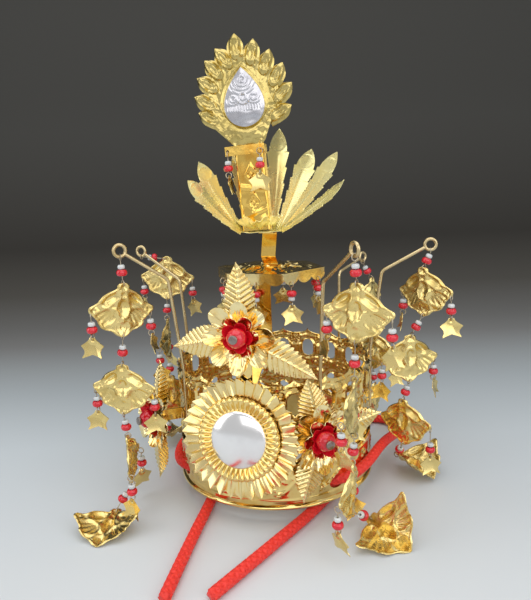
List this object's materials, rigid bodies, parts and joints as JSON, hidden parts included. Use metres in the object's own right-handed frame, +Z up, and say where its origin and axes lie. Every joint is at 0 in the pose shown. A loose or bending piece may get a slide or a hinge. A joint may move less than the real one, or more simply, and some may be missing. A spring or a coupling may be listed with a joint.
{
  "type": "shrine maiden crown",
  "caption": "Gilt brass crown: a pierced ring with a sun disc, leaf flowers, a canopy with a jewel on lotus leaves, hooks with strings of stamped plates, and a red cord.",
  "frame": {"origin": "on the surface that the crown stands on, under the middle of its ring", "axes": "+Z up through the jewel, front with the sun disc toward -Y, +X to the right as seen from the front"},
  "size_m": [0.2796, 0.3094, 0.3533],
  "materials": {
    "gold_brass": "polished, with stamped lines",
    "hook_wire": "dull drawn wire",
    "mirror_disc": "domed and polished",
    "silver_plate": "bright and slightly wrinkled",
    "red_bead": "glossy",
    "seed_beads": "glossy, with white beads beside the red",
    "red_foil": "crumpled red foil",
    "red_cord": "braided"
  },
  "bodies": {
    "root": {"base_band": "gold_brass", "canopy_beads": "seed_beads", "canopy_plate": "gold_brass", "canopy_stars": "gold_brass", "canopy_strap": "gold_brass", "canopy_wires": "gold_brass", "cord_left": "red_cord", "cord_right": "red_cord", "crest_bead": "red_bead", "crest_bracket": "gold_brass", "crest_leaves": "gold_brass", "crest_petals": "gold_brass", "crest_red_petals": "red_foil", "hook_a": "hook_wire", "hook_b": "hook_wire", "hook_c": "hook_wire", "hook_d": "hook_wire", "hook_e": "hook_wire", "jewel_band": "gold_brass", "jewel_frame": "gold_brass", "jewel_stem": "gold_brass", "jewel_stone": "silver_plate", "jewel_strap": "gold_brass", "knot_left": "red_cord", "knot_right": "red_cord", "left_bead": "red_bead", "left_bracket": "gold_brass", "left_leaves": "gold_brass", "left_petals": "gold_brass", "left_red_petals": "red_foil", "lotus_leaves": "gold_brass", "pierced_wall": "gold_brass", "right_bead": "red_bead", "right_bracket": "gold_brass", "right_leaves": "gold_brass", "right_petals": "gold_brass", "right_red_petals": "red_foil", "stem_beads": "seed_beads", "stem_stars": "gold_brass", "stem_wires": "gold_brass", "string_a_beads": "seed_beads", "string_a_plates": "gold_brass", "string_a_wires": "gold_brass", "string_b_beads": "seed_beads", "string_b_plates": "gold_brass", "string_b_wires": "gold_brass", "string_c_beads": "seed_beads", "string_c_plates": "gold_brass", "string_c_wires": "gold_brass", "string_d_beads": "seed_beads", "string_d_plates": "gold_brass", "string_d_wires": "gold_brass", "string_e_beads": "seed_beads", "string_e_plates": "gold_brass", "string_e_wires": "gold_brass", "sun_mirror": "mirror_disc", "sun_rays_inner": "gold_brass", "sun_rays_outer": "gold_brass"}
  },
  "joints": []
}
